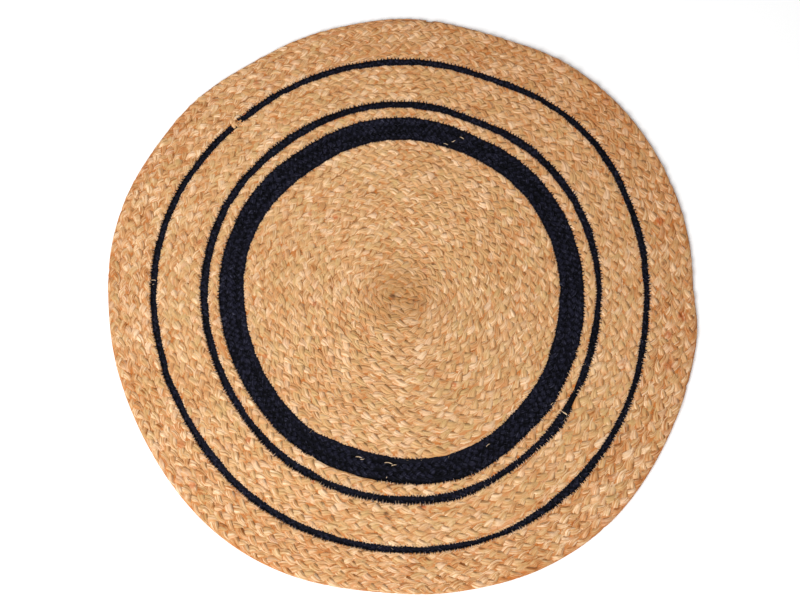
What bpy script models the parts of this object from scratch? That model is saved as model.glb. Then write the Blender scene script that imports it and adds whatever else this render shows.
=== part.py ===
"""A round rug of three-strand jute braid, laid flat, in metres with +Z up.

The braid is wound outwards from a hairpin at the centre and sewn edge to edge. Rings of near-black braid are
let in between the natural rows. Each band of rows in one colour is one flat solid, with a rib on its top for
every row of braid. Bearings are in degrees, anticlockwise from +X seen from above, and the winding goes clockwise.
"""

import math
from collections import namedtuple

import bmesh
import bpy

# The whole rug
RUG_RADIUS = 0.450  # mean radius of its outline
SEAM_GAP = 0.0003  # between the solids of two bands that are sewn together
WELD = 1e-6  # points this close are one

# The braid's height at the middle of a row, and in the groove where two rows are sewn
JUTE_CREST, JUTE_GROOVE = 0.0080, 0.0056
BLACK_CREST, BLACK_GROOVE = 0.0064, 0.0046
RIM_EDGE = 0.0042  # height of the last row's outer side

# The hairpin that the winding starts from: the braid is folded back along itself
HAIRPIN_REACH = 0.020  # from the middle of the fold's slit to each of its ends
HAIRPIN_BEARING = -10.0
HAIRPIN_MIDDLE = (0.006, -0.005)  # of the slit, from the middle of the winding
HAIRPIN_FADE = 0.120  # rows further out than this are round

# The outer ring stops short of closing, and natural braid fills the space between its ends
OPENING_BEARING = 133.0
OPENING_WIDTH = 0.012
BRIDGE_SLOPE = 0.0004  # how far the sides of that filling lean

STEP = 5  # degrees between two points of a row

# outer: mean radius of the band's outer side. join_at: the bearing where a turn starts to step out into the
# next row, which takes it join_span degrees.
Band = namedtuple("Band", "name outer rows crest groove join_at join_span dye")
BANDS = (
    Band("jute_centre_coil", 0.2448, 16, JUTE_CREST, JUTE_GROOVE, 340, 70, "natural_jute"),
    Band("black_wide_band", 0.2818, 3, BLACK_CREST, BLACK_GROOVE, 300, 60, "black_jute"),
    Band("jute_single_row", 0.2990, 1, JUTE_CREST, JUTE_GROOVE, 205, 15, "natural_jute"),
    Band("black_inner_ring", 0.3100, 1, BLACK_CREST, BLACK_GROOVE, 335, 10, "black_jute"),
    Band("jute_middle_band", 0.3745, 4, JUTE_CREST, JUTE_GROOVE, 325, 60, "natural_jute"),
    Band("black_outer_ring", 0.3845, 1, BLACK_CREST, BLACK_GROOVE, None, 0, "black_jute"),
    Band("jute_rim_band", RUG_RADIUS, 4, JUTE_CREST, JUTE_GROOVE, 130, 60, "natural_jute"),
)
OUTER_RING = next(band for band in BANDS if band.name == "black_outer_ring")
BRIDGING_BAND = BANDS[BANDS.index(OUTER_RING) - 1]

# Where the sewing has pushed the rows out of a true circle, or drawn them in. Each swell is a smooth hump
# around a bearing, with its height in millimetres at the wide band, the outer ring and the outline.
Swell = namedtuple("Swell", "bearing spread band ring outline")
SWELLS = (
    Swell(0, 9, 0.0, -1.0, -7.0),
    Swell(42, 22, 0.5, 8.0, 8.0),
    Swell(68, 11, -1.0, -5.0, -5.5),
    Swell(98, 30, 4.0, -1.5, -3.0),
    Swell(158, 24, 3.0, 6.0, 6.5),
    Swell(206, 20, -5.0, -5.0, -6.5),
    Swell(266, 14, 0.0, 0.0, -7.5),
    Swell(286, 20, 7.5, 5.0, 3.0),
    Swell(308, 18, -1.0, 3.0, 7.0),
    Swell(348, 24, -6.0, -7.0, 1.0),
)
SWELL_RADII = (0.0, 0.280, 0.380, RUG_RADIUS)

# Where a band's outer side wanders on its own: a smooth hump around a bearing, so many millimetres outwards. The
# bands on both its sides follow.
Nudge = namedtuple("Nudge", "band bearing spread outwards")
NUDGES = (
    Nudge("jute_centre_coil", 125, 14, -3.0),
    Nudge("jute_centre_coil", 185, 13, -3.0),
    Nudge("jute_centre_coil", 253, 9, -2.0),
    Nudge("jute_centre_coil", 302, 14, 2.2),
    Nudge("black_wide_band", 65, 11, -3.0),
    Nudge("black_wide_band", 122, 12, -2.8),
    Nudge("black_wide_band", 180, 20, -1.2),
    Nudge("black_wide_band", 222, 12, -1.4),
    Nudge("black_wide_band", 293, 12, 3.0),
    Nudge("black_wide_band", 322, 8, 3.0),
    Nudge("black_wide_band", 347, 15, 2.8),
    Nudge("jute_single_row", 68, 16, -3.2),
    Nudge("jute_single_row", 125, 12, -2.0),
    Nudge("jute_single_row", 170, 16, -2.8),
    Nudge("jute_single_row", 258, 13, 2.8),
    Nudge("jute_single_row", 2, 9, 3.0),
    Nudge("black_inner_ring", 68, 9, -3.0),
    Nudge("black_inner_ring", 180, 22, -1.6),
    Nudge("black_inner_ring", 258, 15, 2.2),
    Nudge("black_inner_ring", 283, 8, 2.0),
    Nudge("black_inner_ring", 302, 9, -1.6),
    Nudge("black_inner_ring", 320, 5, 3.2),
    Nudge("jute_middle_band", 22, 12, -1.5),
    Nudge("jute_middle_band", 92, 14, -1.2),
    Nudge("jute_middle_band", 140, 24, -2.6),
    Nudge("jute_middle_band", 222, 8, -1.6),
    Nudge("jute_middle_band", 292, 10, 3.2),
    Nudge("jute_middle_band", 334, 14, 3.6),
    Nudge("black_outer_ring", 22, 8, -1.8),
    Nudge("black_outer_ring", 50, 7, -1.2),
    Nudge("black_outer_ring", 142, 24, -3.0),
    Nudge("black_outer_ring", 310, 12, 2.4),
    Nudge("black_outer_ring", 334, 10, 1.8),
    Nudge("jute_rim_band", 354, 6, 4.0),
    Nudge("jute_rim_band", 60, 9, 2.6),
    Nudge("jute_rim_band", 90, 8, 3.2),
    Nudge("jute_rim_band", 122, 9, -4.2),
    Nudge("jute_rim_band", 149, 9, -3.0),
    Nudge("jute_rim_band", 183, 8, -2.0),
    Nudge("jute_rim_band", 235, 14, 1.8),
    Nudge("jute_rim_band", 284, 8, -2.6),
    Nudge("jute_rim_band", 315, 12, 1.8),
)
DARK_SPREAD = 0.0007  # how far a dark row spreads over its natural neighbours

# Linear colours and roughness of the two yarns
YARNS = {
    "natural_jute": ((0.62, 0.36, 0.15, 1.0), 0.85),
    "black_jute": ((0.009, 0.009, 0.016, 1.0), 0.90),
}


def mix(a, b, share):
    return a + (b - a) * share


def smooth_step(share):
    """0 to 1 with level ends: 3 t^2 - 2 t^3."""
    share = min(max(share, 0.0), 1.0)
    return share * share * (3.0 - 2.0 * share)


def between(value, places, heights):
    """The height at value on the line through the points (place, height)."""
    for start, end, low, high in zip(places, places[1:], heights, heights[1:]):
        if value <= end:
            return mix(low, high, (value - start) / (end - start))
    return heights[-1]


def hump(bearing, place):
    """exp(-(angle / spread)^2) of the angle between a bearing and the place's own."""
    angle = (bearing - place.bearing + 180.0) % 360.0 - 180.0
    return math.exp(-((angle / place.spread) ** 2))


def swollen(radius, bearing):
    """The real radius of a row of this mean radius: each swell adds its height times its hump."""
    push = 0.0
    for swell in SWELLS:
        height = between(radius, SWELL_RADII, (0.0, swell.band, swell.ring, swell.outline))
        push += height * hump(bearing, swell)
    return radius + push / 1000.0


def outer_side(band, bearing):
    """The mean radius of a band's outer side at a bearing: each nudge adds its height times its hump."""
    radius = band.outer
    if band.outer < RUG_RADIUS:
        radius += DARK_SPREAD if band.dye == "black_jute" else -DARK_SPREAD
    for nudge in NUDGES:
        if nudge.band == band.name:
            radius += nudge.outwards * hump(bearing, nudge) / 1000.0
    return radius


def hairpin(radius, bearing):
    """How far (x, y) the hairpin moves a point of a row, fading to nothing at HAIRPIN_FADE: its middle, and from one
    end of its slit to the other as the bearing turns."""
    fade = max(0.0, 1.0 - radius / HAIRPIN_FADE)
    half_turns = abs((bearing - HAIRPIN_BEARING + 180.0) % 360.0 - 180.0) / 180.0
    reach = HAIRPIN_REACH * (1.0 - 2.0 * half_turns)
    x, y = HAIRPIN_MIDDLE
    angle = math.radians(HAIRPIN_BEARING)
    return fade * (x + reach * math.cos(angle)), fade * (y + reach * math.sin(angle))


def on_rug(radius, bearing):
    """(x, y) of a point of the row of this mean radius, about the middle of the winding."""
    angle = math.radians(bearing)
    reach = swollen(radius, bearing)
    x, y = hairpin(radius, bearing)
    return reach * math.cos(angle) + x, reach * math.sin(angle) + y


def opening_bearings():
    """The bearings, in order, of the outer ring's end, the filling's foot and its top, and the same beyond."""
    half_seam = math.degrees(SEAM_GAP / 2 / OUTER_RING.outer)
    lean = math.degrees(BRIDGE_SLOPE / OUTER_RING.outer)
    half = math.degrees(OPENING_WIDTH / 2 / OUTER_RING.outer)
    offsets = (-half - half_seam, -half + half_seam, -half + half_seam + lean)
    offsets += tuple(-offset for offset in reversed(offsets))
    return [OPENING_BEARING + offset for offset in offsets]


def bearings_of(band):
    """The bearings of the band's points, clockwise from where it starts. A closed band ends where it started."""
    bearings = [float(bearing) for bearing in range(0, 360, STEP)]
    opening = opening_bearings()
    if band.outer >= BRIDGING_BAND.outer:
        bearings += opening
    if band is OUTER_RING:
        first, last = opening[0], opening[-1]
        turned = [bearing for bearing in bearings if not first < bearing < last]
        return sorted(turned, key=lambda bearing: (first - bearing) % 360.0)
    turned = sorted(bearings, key=lambda bearing: (band.join_at - bearing) % 360.0)
    return turned + [turned[0] - 360.0]


def outline_middle():
    """(x, y) of the middle of the rug's bounding box, about the middle of the winding."""
    rim = BANDS[-1]
    points = [on_rug(outer_side(rim, bearing), bearing) for bearing in bearings_of(rim)]
    return [(min(side) + max(side)) / 2 for side in zip(*points)]


def row_sides(band, bearing, full_turn):
    """The sides of the band's rows at a bearing, counted in rows from its inner side, cut off at the band."""
    if band.join_at is None:
        stepped = 0.0
    elif full_turn:
        stepped = 1.0
    else:
        stepped = smooth_step((band.join_at - bearing) % 360.0 / band.join_span)
    return [min(max(row + stepped, 0.0), band.rows) for row in range(-1, band.rows + 1)]


def section(band, inner, bearing, full_turn):
    """(radius, height) of the points across the band's top: groove, crest, groove, crest ... groove. inner is the
    band inside it, if any. A row that narrows where it ends or begins is lower there, by the square root of its
    width."""
    low_side = outer_side(inner, bearing) + SEAM_GAP / 2 if inner else 0.0
    high_side = outer_side(band, bearing) - (SEAM_GAP / 2 if band.outer < RUG_RADIUS else 0.0)
    outer_height = RIM_EDGE if band.outer == RUG_RADIUS else band.groove
    sides = row_sides(band, bearing, full_turn)
    heights = [outer_height if side == band.rows else band.groove for side in sides]
    points = []
    for row, (start, end) in enumerate(zip(sides, sides[1:])):
        foot = (heights[row] + heights[row + 1]) / 2
        points.append((mix(low_side, high_side, start / band.rows), heights[row]))
        crest = mix(foot, band.crest, math.sqrt(end - start))
        points.append((mix(low_side, high_side, (start + end) / 2 / band.rows), crest))
    opening = opening_bearings()
    if band is BRIDGING_BAND and opening[2] <= bearing <= opening[3]:
        high_side = outer_side(OUTER_RING, bearing) - SEAM_GAP / 2
    points.append((high_side, outer_height))
    return points


def band_mesh(band, inner, middle):
    """The band's solid: its ribbed top, its walls and its flat bottom, swept round the rug."""
    shape = bmesh.new()

    def vertex(radius, bearing, height):
        x, y = on_rug(radius, bearing)
        return shape.verts.new((x - middle[0], y - middle[1], height))

    bearings = bearings_of(band)
    rings = []
    for index, bearing in enumerate(bearings):
        full_turn = index == len(bearings) - 1
        top = section(band, inner, bearing, full_turn)
        ring = [vertex(radius, bearing, height) for radius, height in top]
        ring.append(vertex(top[-1][0], bearing, 0.0))
        ring.append(vertex(top[0][0], bearing, 0.0))
        rings.append(ring)
    for ring, following in zip(rings, rings[1:]):
        count = len(ring)
        for place in range(count if inner else count - 1):
            after = (place + 1) % count
            shape.faces.new((ring[place], ring[after], following[after], following[place]))
    if band is OUTER_RING:
        shape.faces.new(rings[0])
        shape.faces.new(rings[-1])
    bmesh.ops.remove_doubles(shape, verts=shape.verts, dist=WELD)
    bmesh.ops.recalc_face_normals(shape, faces=shape.faces)
    mesh = bpy.data.meshes.new(band.name)
    shape.to_mesh(mesh)
    shape.free()
    mesh.shade_smooth()
    mesh.set_sharp_from_angle(angle=math.radians(50.0))
    return mesh


def yarn_material(name):
    colour, roughness = YARNS[name]
    material = bpy.data.materials.new(name)
    material.use_nodes = True
    shader = material.node_tree.nodes["Principled BSDF"]
    shader.inputs["Base Color"].default_value = colour
    shader.inputs["Roughness"].default_value = roughness
    shader.inputs["Metallic"].default_value = 0.0
    material.diffuse_color = colour
    return material


def main():
    for old in list(bpy.data.objects):
        bpy.data.objects.remove(old)
    materials = {name: yarn_material(name) for name in YARNS}
    middle = outline_middle()
    inner = None
    for band in BANDS:
        mesh = band_mesh(band, inner, middle)
        mesh.materials.append(materials[band.dye])
        bpy.context.scene.collection.objects.link(bpy.data.objects.new(band.name, mesh))
        inner = band


main()
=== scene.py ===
"""The finish of a round rug of three-strand jute braid, sewn edge to edge, with rings of near-black braid.

Everything is worked out in the rug's own frame, in metres. A row is followed clockwise, seen from above.
A point of it is (along, across, height): how far along the middle line of its braid, how far outwards from
that line, and how high above the floor. Bearings are in degrees, anticlockwise from +X.
"""

import math
from collections import namedtuple

import bmesh
import bpy
import numpy as np
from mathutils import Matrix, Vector


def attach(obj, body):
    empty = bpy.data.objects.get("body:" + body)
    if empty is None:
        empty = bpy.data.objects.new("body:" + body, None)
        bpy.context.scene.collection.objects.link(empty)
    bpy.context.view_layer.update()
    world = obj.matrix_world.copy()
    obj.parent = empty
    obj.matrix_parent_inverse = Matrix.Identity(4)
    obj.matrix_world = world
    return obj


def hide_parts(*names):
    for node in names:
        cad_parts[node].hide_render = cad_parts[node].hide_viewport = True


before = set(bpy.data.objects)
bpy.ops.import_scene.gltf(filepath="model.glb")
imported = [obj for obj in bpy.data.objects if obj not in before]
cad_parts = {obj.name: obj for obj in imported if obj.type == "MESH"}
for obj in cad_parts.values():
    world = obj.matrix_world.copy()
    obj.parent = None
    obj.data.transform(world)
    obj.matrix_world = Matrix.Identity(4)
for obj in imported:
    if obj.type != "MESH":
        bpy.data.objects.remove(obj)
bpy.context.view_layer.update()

MM = 0.001

# The winding, as in the solids
RUG_RADIUS = 0.450
HAIRPIN_REACH = 0.020
HAIRPIN_BEARING = -10.0
HAIRPIN_MIDDLE = (0.006, -0.005)
HAIRPIN_FADE = 0.120
OPENING_BEARING = 133.0
OPENING_WIDTH = 0.012
STEP = 5  # degrees between two points of the solids' outline
Band = namedtuple("Band", "name outer rows crest join_at join_span dye")
BANDS = (
    Band("jute_centre_coil", 0.2448, 16, 0.0080, 340, 70, "natural_jute"),
    Band("black_wide_band", 0.2818, 3, 0.0064, 300, 60, "black_jute"),
    Band("jute_single_row", 0.2990, 1, 0.0080, 205, 15, "natural_jute"),
    Band("black_inner_ring", 0.3100, 1, 0.0064, 335, 10, "black_jute"),
    Band("jute_middle_band", 0.3745, 4, 0.0080, 325, 60, "natural_jute"),
    Band("black_outer_ring", 0.3845, 1, 0.0064, None, 0, "black_jute"),
    Band("jute_rim_band", RUG_RADIUS, 4, 0.0080, 130, 60, "natural_jute"),
)
# Smooth humps around a bearing that push the rows out, in millimetres at SWELL_RADII
Swell = namedtuple("Swell", "bearing spread band ring outline")
SWELLS = (
    (0, 9, 0.0, -1.0, -7.0), (42, 22, 0.5, 8.0, 8.0), (68, 11, -1.0, -5.0, -5.5),
    (98, 30, 4.0, -1.5, -3.0), (158, 24, 3.0, 6.0, 6.5), (206, 20, -5.0, -5.0, -6.5),
    (266, 14, 0.0, 0.0, -7.5), (286, 20, 7.5, 5.0, 3.0), (308, 18, -1.0, 3.0, 7.0),
    (348, 24, -6.0, -7.0, 1.0),
)
SWELL_RADII = (0.0, 0.280, 0.380, RUG_RADIUS)
# Smooth humps around a bearing that push a band's outer side out, in millimetres, and with it the bands on
# both its sides. A band's last row of them, but for the rim's, isn't in the solids.
Nudge = namedtuple("Nudge", "bearing spread outwards")
NUDGES = {
    "jute_centre_coil": (
        (125, 14, -3.0), (185, 13, -3.0), (253, 9, -2.0), (302, 14, 2.2),
        (235, 5, 2.2), (330, 8, 1.4), (40, 8, 1.2),
    ),
    "black_wide_band": (
        (65, 11, -3.0), (122, 12, -2.8), (180, 20, -1.2), (222, 12, -1.4), (293, 12, 3.0), (322, 8, 3.0),
        (347, 15, 2.8),
        (241.1, 1.2, -2.0), (158, 10, -1.2),
    ),
    "jute_single_row": (
        (68, 16, -3.2), (125, 12, -2.0), (170, 16, -2.8), (258, 13, 2.8), (2, 9, 3.0),
        (331.3, 1.4, 1.6), (242, 2.0, -1.0), (248, 2.0, 1.0), (300, 30, 1.0),
    ),
    "black_inner_ring": (
        (68, 9, -3.0), (180, 22, -1.6), (258, 15, 2.2), (283, 8, 2.0), (302, 9, -1.6), (320, 5, 3.2),
        (331.3, 1.6, -2.6), (246, 1.2, -2.0), (165, 9, -1.0), (220, 6, -1.4), (139, 9, -1.0), (328, 4, -1.0),
    ),
    "jute_middle_band": (
        (22, 12, -1.5), (92, 14, -1.2), (140, 24, -2.6), (222, 8, -1.6), (292, 10, 3.2), (334, 14, 3.6),
        (200, 4, 1.6), (0, 5, 1.4),
    ),
    "black_outer_ring": (
        (22, 8, -1.8), (50, 7, -1.2), (142, 24, -3.0), (310, 12, 2.4), (334, 10, 1.8),
        (200, 4, 1.4),
    ),
    "jute_rim_band": (
        (354, 6, 4.0), (60, 9, 2.6), (90, 8, 3.2), (122, 9, -4.2), (149, 9, -3.0), (183, 8, -2.0),
        (235, 14, 1.8), (284, 8, -2.6), (315, 12, 1.8),
    ),
}
DARK_SPREAD = 0.3 * MM  # how far a dark row spreads over its natural neighbours
RIPPLES = (23, 38, 61)  # waves in a turn
RIPPLE = 0.25 * MM

# How each yarn is plaited. period: the length of one full pass of a strand. steps: its points along that
# length. plies: how many bundles of fibre each strand has. around: the points round a bundle. sway, breadth
# and edge_breadth are shares of the row's half width, depth and edge_depth of its thickness: the strand's
# sideways swing, its half breadth at the row's middle and side, and its half depth there. spare: how much
# wider than its row the braid would be if its neighbours didn't press it.
Plait = namedtuple("Plait", "period steps plies around sway breadth edge_breadth depth edge_depth spare")
PLAITS = {
    "natural_jute": Plait(0.0535, 12, (3, 2, 3), 5, 0.60, 0.66, 0.52, 0.33, 0.42, 1.20),
    "black_jute": Plait(0.0285, 9, (2, 2, 2), 5, 0.58, 0.64, 0.52, 0.30, 0.38, 1.20),
}
# The plait is tightest at this bearing, by this share, and as much looser on the other side
TIGHT_BEARING = 110.0
TIGHTENING = 0.11
# Where the bundles of a strand lie, by how many there are. apart, above: their middles' distance from the
# strand's own, sideways and upwards. wide, tall: their half sizes. All are shares of the strand's half
# breadth and depth.
Bundle = namedtuple("Bundle", "apart above wide tall")
BUNDLES = {2: Bundle(0.34, 0.10, 0.74, 0.94), 3: Bundle(0.34, 0.12, 0.76, 0.92)}
TOP_SHARE = 0.4  # where the top of a bundle of five points lies on its strand map
BUNDLE_GIRTH = 0.012  # by which a bake's map gives a bundle's length and girth the same scale
STRAND_TWIST = 0.170  # the length in which the bundles of a strand of three turn once about each other
ROLL = 0.30  # radians that a strand rolls into each crossing
CORNER_POWER = 0.9  # below 1 a bundle's section is a squared ellipse
# How the plait strays from a perfect one. amount: the most. pitch: the length of one wander, in metres.
Stray = namedtuple("Stray", "amount pitch")
PACE_STRAYS = (Stray(0.18, 0.160), Stray(0.07, 0.045))  # periods
BREADTH_STRAY, DEPTH_STRAY = Stray(0.28, 0.021), Stray(0.20, 0.017)  # shares of a strand's own
ACROSS_STRAY = Stray(0.18, 0.019)  # shares of the row's half width
HEIGHT_STRAY = Stray(0.45 * MM, 0.023)  # metres
TURN_STRAY = Stray(0.7, 0.050)  # radians that a strand's bundles turn about each other
BUNDLE_STRAY = Stray(0.17, 0.024)  # shares of a bundle's half sizes
ROUGHNESS = 0.10 * MM  # of the bundles' surfaces
NARROWEST = 0.15  # share of its full width below which a row has no braid
FLOOR_GAP = 0.02 * MM
MOST_TRIANGLES = 190_000  # of a piece
# The height of the rug's pressed middle, as shares of the crest, under a row's middle and under a seam
MIDDLE_SHARE, SEAM_SHARE = 0.85, 0.68
HEART_BOTTOM = 2.4 * MM
HEART_MARGIN = 1.8 * MM  # between it and the outline
HEART_STREAK = 12 * MM  # the length across the rows that counts as one bundle on its strand map
WELD = 0.001 * MM  # points nearer than this are one
STITCH_PITCH = 5.6 * MM  # of the zigzag between two rows
LEAST_HEIGHT = 1.5 * MM  # of what lies on the braids, where there is nothing under it
# The furthest that a band's braid stands out over its sides
PRESSED = {"natural_jute": 0.7 * MM, "black_jute": 0.1 * MM}


# ---- The winding ----


def smooth_step(share):
    """0 to 1 with level ends: 3 t^2 - 2 t^3."""
    share = np.clip(share, 0.0, 1.0)
    return share * share * (3.0 - 2.0 * share)


def hump(bearing, place):
    """exp(-(angle / spread)^2) of the angle between a bearing and the place's own."""
    angle = (bearing - place.bearing + 180.0) % 360.0 - 180.0
    return np.exp(-((angle / place.spread) ** 2))


def swollen(radius, bearing):
    """The real radius of a row of this mean radius: each swell adds its height times its hump."""
    push = np.zeros(np.broadcast(radius, bearing).shape)
    for swell in map(Swell._make, SWELLS):
        height = np.interp(radius, SWELL_RADII, (0.0, swell.band, swell.ring, swell.outline))
        push += height * hump(bearing, swell)
    return radius + push * MM


def outer_side(band, bearing):
    """The mean radius of a band's outer side at a bearing: each nudge adds its height times its hump. But
    for the rug's outline it ripples, by RIPPLE times the sum of sin(n * bearing) over RIPPLES."""
    radius = band.outer + np.zeros(np.shape(bearing))
    if band.outer < RUG_RADIUS:
        radius += DARK_SPREAD if band.dye == "black_jute" else -DARK_SPREAD
        number = BANDS.index(band)
        radius += RIPPLE * sum(np.sin(np.radians(bearing) * waves + waves * number) for waves in RIPPLES)
    for nudge in map(Nudge._make, NUDGES[band.name]):
        radius += nudge.outwards * MM * hump(bearing, nudge)
    return radius


def hairpin(radius, bearing):
    """How far (x, y) the hairpin moves a point of a row: to its middle, and from one end of its slit to the
    other as the bearing turns by half a circle. It fades evenly with the radius, to nothing at
    HAIRPIN_FADE."""
    fade = np.clip(1.0 - radius / HAIRPIN_FADE, 0.0, 1.0)
    half_turns = np.abs((bearing - HAIRPIN_BEARING + 180.0) % 360.0 - 180.0) / 180.0
    reach = HAIRPIN_REACH * (1.0 - 2.0 * half_turns)
    x, y = HAIRPIN_MIDDLE
    angle = math.radians(HAIRPIN_BEARING)
    return fade * (x + reach * math.cos(angle)), fade * (y + reach * math.sin(angle))


def on_winding(radius, bearing):
    """(x, y) of a point of the row of this mean radius, about the middle of the winding."""
    angle = np.radians(bearing)
    reach = swollen(radius, bearing)
    x, y = hairpin(radius, bearing)
    return reach * np.cos(angle) + x, reach * np.sin(angle) + y


AROUND = np.arange(0.0, 360.0, STEP)
OUTLINE = on_winding(outer_side(BANDS[-1], AROUND), AROUND)
WINDING_X, WINDING_Y = (-(side.min() + side.max()) / 2 for side in OUTLINE)

Course = namedtuple("Course", "along turned middle half start to_inner to_outer innermost outermost")
COURSE_STEP = 0.25  # degrees
POINTED = 0.012  # the length of the points that the outer ring ends in
LAPPED = 0.0150  # how much further into the opening its braid goes at its first end than its solid
# What is left of the row at those ends, from its inner side, as shares of its width
FIRST_END, LAST_END = (0.10, 0.75), (0.40, 0.85)
TOUCHING = 0.01  # a row lies along its band's side where it is nearer than this share of its width


def course_of(band):
    """The line along the middle of a band's braid. In each turn its sides step out by one row, in join_span
    degrees, and they are cut off at the band: so it starts and ends at no width. The outer ring is a single
    turn instead, whose ends narrow to FIRST_END and LAST_END. to_inner and to_outer are how far the line is
    from the band's sides, and innermost and outermost say where the row lies against them."""
    if band.join_at is None:
        gap = math.degrees(OPENING_WIDTH / 2 / band.outer)
        lap = math.degrees(LAPPED / band.outer)
        start = OPENING_BEARING - gap + lap
        turned = np.arange(0.0, 360.0 - 2 * gap + lap, COURSE_STEP)
        lengths = (np.radians(turned) * band.outer, np.radians(turned[-1] - turned) * band.outer)
        first, last = (1 - smooth_step(length / POINTED) for length in lengths)
        low = LAST_END[0] * last + FIRST_END[0] * first
        high = 1 - (1 - LAST_END[1]) * last - (1 - FIRST_END[1]) * first
    else:
        start = band.join_at
        turned = np.arange(0.0, 360.0 * band.rows + band.join_span, COURSE_STEP)
        turn = np.floor(turned / 360.0)
        stepped = turn + smooth_step((turned - 360.0 * turn) / band.join_span)
        low, high = np.clip(stepped - 1, 0, band.rows), np.clip(stepped, 0, band.rows)
    bearing = start - turned
    number = BANDS.index(band)
    inner = outer_side(BANDS[number - 1], bearing) if number else 0.0
    outer = outer_side(band, bearing)
    pitch = (outer - inner) / band.rows
    middle = inner + pitch * (low + high) / 2
    x, y = on_winding(middle, bearing)
    along = np.concatenate([[0.0], np.cumsum(np.hypot(np.diff(x), np.diff(y)))])
    half = pitch * (high - low) / 2
    against = (low < TOUCHING, high > band.rows - TOUCHING)
    return Course(along, turned, middle, half, start, middle - inner, outer - middle, *against)


def on_floor(course, along, across, height):
    """The points of a row, as (..., 3): their radius and bearing are read off the course, and on_winding
    gives x and y."""
    turned = np.interp(along, course.along, course.turned)
    radius = np.clip(np.interp(along, course.along, course.middle) + across, 0.0, None)
    x, y = on_winding(radius, course.start - turned)
    return np.stack(np.broadcast_arrays(x + WINDING_X, y + WINDING_Y, height), axis=-1)


def wander(places, stray, rng, columns=1):
    """Smooth random numbers within the stray's amount: one for each of its pitches of length, joined by
    smooth steps. columns gives so many at each place."""
    low = places.min()
    knots = rng.uniform(-1.0, 1.0, (int((places.max() - low) / stray.pitch) + 3, columns))
    index = (places - low) / stray.pitch
    before = index.astype(int)
    share = smooth_step(index - before)[:, None]
    found = stray.amount * (knots[before] + (knots[before + 1] - knots[before]) * share)
    return found[:, 0] if columns == 1 else found


# ---- Meshes ----


def tubes(rings):
    """The faces of tubes, from vertex numbers shaped (tube, ring, point): the quads and the caps at their
    ends."""
    after = np.roll(rings, -1, axis=2)
    quads = np.stack([rings[:, :-1], after[:, :-1], after[:, 1:], rings[:, 1:]], axis=-1)
    caps = np.concatenate([rings[:, 0, ::-1], rings[:, -1]])
    return [quads.reshape(-1, 4), caps]


def new_mesh(name, points, faces, materials, face_materials=None):
    """A mesh from points and a list of face arrays, each with one number of corners."""
    mesh = bpy.data.meshes.new(name)
    mesh.vertices.add(len(points))
    mesh.vertices.foreach_set("co", np.ascontiguousarray(points, np.float32).ravel())
    corners = np.concatenate([part.ravel() for part in faces]).astype(np.int32)
    sizes = np.concatenate([np.full(len(part), part.shape[1], np.int32) for part in faces])
    mesh.loops.add(len(corners))
    mesh.loops.foreach_set("vertex_index", corners)
    mesh.polygons.add(len(sizes))
    mesh.polygons.foreach_set("loop_start", np.concatenate([[0], np.cumsum(sizes)[:-1]]).astype(np.int32))
    mesh.polygons.foreach_set("loop_total", sizes)
    if face_materials is not None:
        mesh.polygons.foreach_set("material_index", face_materials.astype(np.int32))
    mesh.update(calc_edges=True)
    mesh.shade_smooth()
    for material in materials:
        mesh.materials.append(material)
    return mesh


def tube_mesh(name, material, *groups):
    """One mesh of groups of tubes, each given by its points, shaped (tube, ring, point, 3)."""
    points, faces, count = [], [], 0
    for group in groups:
        numbers = count + np.arange(group[..., 0].size).reshape(group.shape[:3])
        count += numbers.size
        faces += tubes(numbers)
        points.append(group.reshape(-1, 3))
    return new_mesh(name, np.concatenate(points), faces, [material])


def add_map(mesh, name, corners):
    """A UV map of this name: a pair of numbers for each corner of the faces."""
    layer = mesh.uv_layers.new(name=name)
    layer.data.foreach_set("uv", np.ascontiguousarray(corners, np.float32).ravel())


def add_tones(mesh, tones):
    """The attribute petal: three numbers for each point, as petals() gives them."""
    attribute = mesh.attributes.new("petal", "FLOAT_VECTOR", "POINT")
    attribute.data.foreach_set("vector", np.ascontiguousarray(tones, np.float32).ravel())


def add_piece(mesh, slot, *nodes):
    """The piece of this mesh. It rides on the rug's one body and stands for the nodes, if any."""
    piece = bpy.data.objects.new(mesh.name, mesh)
    bpy.context.scene.collection.objects.link(piece)
    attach(piece, "root")
    if nodes:
        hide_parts(*nodes)
    return piece


# ---- The braid ----


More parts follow.
